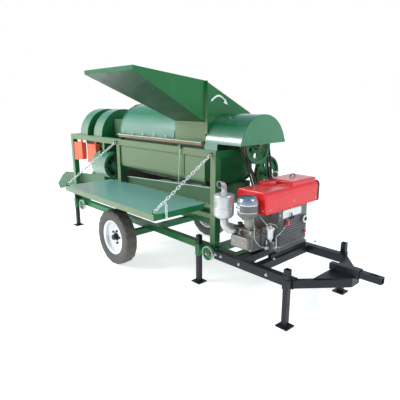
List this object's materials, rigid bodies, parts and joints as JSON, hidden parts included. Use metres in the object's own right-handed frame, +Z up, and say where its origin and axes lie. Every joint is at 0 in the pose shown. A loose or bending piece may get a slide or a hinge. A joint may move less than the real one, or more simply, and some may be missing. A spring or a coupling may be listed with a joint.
{
  "type": "threshing machine",
  "caption": "Trailed threshing machine: spiked drum under a hooded feed chute, fans, shaking sieve, grain trough, folding table, and a diesel engine on the drawbar frame.",
  "frame": {"origin": "bottom centre of the bounding box, on the ground", "axes": "+X along the machine towards the drawbar, -Y the feeding side, +Z up"},
  "size_m": [4.585, 1.6932, 1.815],
  "materials": {
    "green_paint": "gloss green paint",
    "pale_green_paint": "pale green paint",
    "black_paint": "black paint",
    "red_paint": "gloss red paint",
    "orange_paint": "orange-red paint",
    "grey_casting": "bare grey casting",
    "zinc": "dull zinc",
    "silver_rim": "silver paint",
    "tyre": "black rubber",
    "belt": "black rubber"
  },
  "bodies": {
    "frame": {"side_frame_near": "green_paint", "side_frame_far": "green_paint", "end_frame_left": "green_paint", "end_frame_right": "green_paint", "axle_beam": "green_paint", "end_plate_left": "green_paint", "end_plate_right": "green_paint", "hopper_hood": "green_paint", "feed_chute": "green_paint", "suction_housing_left": "green_paint", "suction_housing_right": "green_paint", "suction_duct": "green_paint", "winnowing_fan_housing": "green_paint", "grain_trough": "green_paint", "belt_guard": "green_paint", "casing_near": "pale_green_paint", "casing_far": "pale_green_paint", "engine_frame": "black_paint", "hitch_yoke": "black_paint", "engine_hood": "red_paint", "side_box_left": "orange_paint", "side_box_right": "orange_paint", "drum_bearing_left": "grey_casting", "drum_bearing_right": "grey_casting", "concave_grate": "grey_casting", "engine_crankcase": "grey_casting", "cylinder_head": "grey_casting", "air_cleaner": "grey_casting", "chain_left": "zinc", "chain_right": "zinc", "muffler": "zinc", "fuel_filter": "zinc", "counter_belt": "belt", "engine_belt": "belt"},
    "wheel_near": {"road_rim_near": "silver_rim", "road_tyre_near": "tyre"},
    "wheel_far": {"road_rim_far": "silver_rim", "road_tyre_far": "tyre"},
    "guide_rear": {"guide_wheel_rear": "green_paint"},
    "guide_front": {"guide_wheel_front": "green_paint"},
    "drum": {"threshing_drum": "grey_casting", "drum_shaft": "grey_casting", "drum_pulley": "green_paint", "suction_impeller_left": "zinc", "suction_impeller_right": "zinc"},
    "countershaft": {"countershaft_pulley": "green_paint"},
    "crank": {"flywheel": "grey_casting"},
    "winnower": {"winnowing_fan_rotor": "green_paint"},
    "sieve": {"sieve_box": "green_paint"},
    "cover": {"drum_cover": "green_paint"},
    "table": {"feed_table": "green_paint"},
    "tongue": {"drawbar_tongue": "black_paint"},
    "throttle": {"throttle_knob": "red_paint"},
    "leg_rear_near": {"rear_leg_near": "black_paint"},
    "leg_rear_far": {"rear_leg_far": "black_paint"},
    "leg_front_near": {"front_leg_near": "black_paint"},
    "leg_front_far": {"front_leg_far": "black_paint"},
    "leg_drawbar_near": {"drawbar_leg_near": "black_paint"},
    "leg_drawbar_far": {"drawbar_leg_far": "black_paint"}
  },
  "joints": [
    {"name": "wheel_near_spin", "type": "hinge", "parent": "frame", "child": "wheel_near", "pos_m": [-0.0425, -0.49713, 0.275], "axis": [0, 1, 0], "continuous": true},
    {"name": "wheel_far_spin", "type": "hinge", "parent": "frame", "child": "wheel_far", "pos_m": [-0.0425, 0.78287, 0.275], "axis": [0, 1, 0], "continuous": true},
    {"name": "guide_rear_spin", "type": "hinge", "parent": "frame", "child": "guide_rear", "pos_m": [-1.3325, -0.21113, 0.305], "axis": [0, 1, 0], "continuous": true},
    {"name": "guide_front_spin", "type": "hinge", "parent": "frame", "child": "guide_front", "pos_m": [0.9625, -0.21113, 0.305], "axis": [0, 1, 0], "continuous": true},
    {"name": "drum_spin", "type": "hinge", "parent": "frame", "child": "drum", "pos_m": [0.2125, 0.14287, 1.215], "axis": [1, 0, 0], "continuous": true},
    {"name": "crank_spin", "type": "hinge", "parent": "frame", "child": "crank", "pos_m": [1.2195, 0.34287, 0.575], "axis": [1, 0, 0], "continuous": true},
    {"name": "countershaft_spin", "type": "hinge", "parent": "frame", "child": "countershaft", "pos_m": [1.0695, 0.41487, 0.95], "axis": [1, 0, 0], "continuous": true},
    {"name": "winnower_spin", "type": "hinge", "parent": "frame", "child": "winnower", "pos_m": [-0.7735, -0.11913, 0.878], "axis": [1, 0, 0], "continuous": true},
    {"name": "sieve_shake", "type": "slide", "parent": "frame", "child": "sieve", "axis": [0, 1, 0], "range_m": [-0.012, 0.012]},
    {"name": "cover_swing", "type": "hinge", "parent": "frame", "child": "cover", "pos_m": [0.0135, 0.49087, 1.262], "axis": [-1, 0, 0], "range_deg": [0, 75]},
    {"name": "table_fold", "type": "hinge", "parent": "frame", "child": "table", "pos_m": [0.1515, -0.19713, 0.7295], "axis": [-1, 0, 0], "range_deg": [0, 84], "deforming": ["chain_left", "chain_right"]},
    {"name": "tongue_slide", "type": "slide", "parent": "frame", "child": "tongue", "axis": [-1, 0, 0], "range_m": [0, 0.06]},
    {"name": "throttle_turn", "type": "hinge", "parent": "frame", "child": "throttle", "pos_m": [1.5145, 0.13787, 0.627], "axis": [1, 0, 0], "range_deg": [-60, 60]},
    {"name": "leg_rear_near_raise", "type": "slide", "parent": "frame", "child": "leg_rear_near", "axis": [0, 0, 1], "range_m": [0, 0.2]},
    {"name": "leg_rear_far_raise", "type": "slide", "parent": "frame", "child": "leg_rear_far", "axis": [0, 0, 1], "range_m": [0, 0.2]},
    {"name": "leg_front_near_raise", "type": "slide", "parent": "frame", "child": "leg_front_near", "axis": [0, 0, 1], "range_m": [0, 0.2]},
    {"name": "leg_front_far_raise", "type": "slide", "parent": "frame", "child": "leg_front_far", "axis": [0, 0, 1], "range_m": [0, 0.2]},
    {"name": "leg_drawbar_near_raise", "type": "slide", "parent": "frame", "child": "leg_drawbar_near", "axis": [0, 0, 1], "range_m": [0, 0.2]},
    {"name": "leg_drawbar_far_raise", "type": "slide", "parent": "frame", "child": "leg_drawbar_far", "axis": [0, 0, 1], "range_m": [0, 0.2]}
  ],
  "couplings": [
    {"joint": "crank_spin", "follows": "drum_spin", "ratio": 2},
    {"joint": "countershaft_spin", "follows": "drum_spin", "ratio": 0.5},
    {"joint": "winnower_spin", "follows": "drum_spin", "ratio": 1.2}
  ]
}
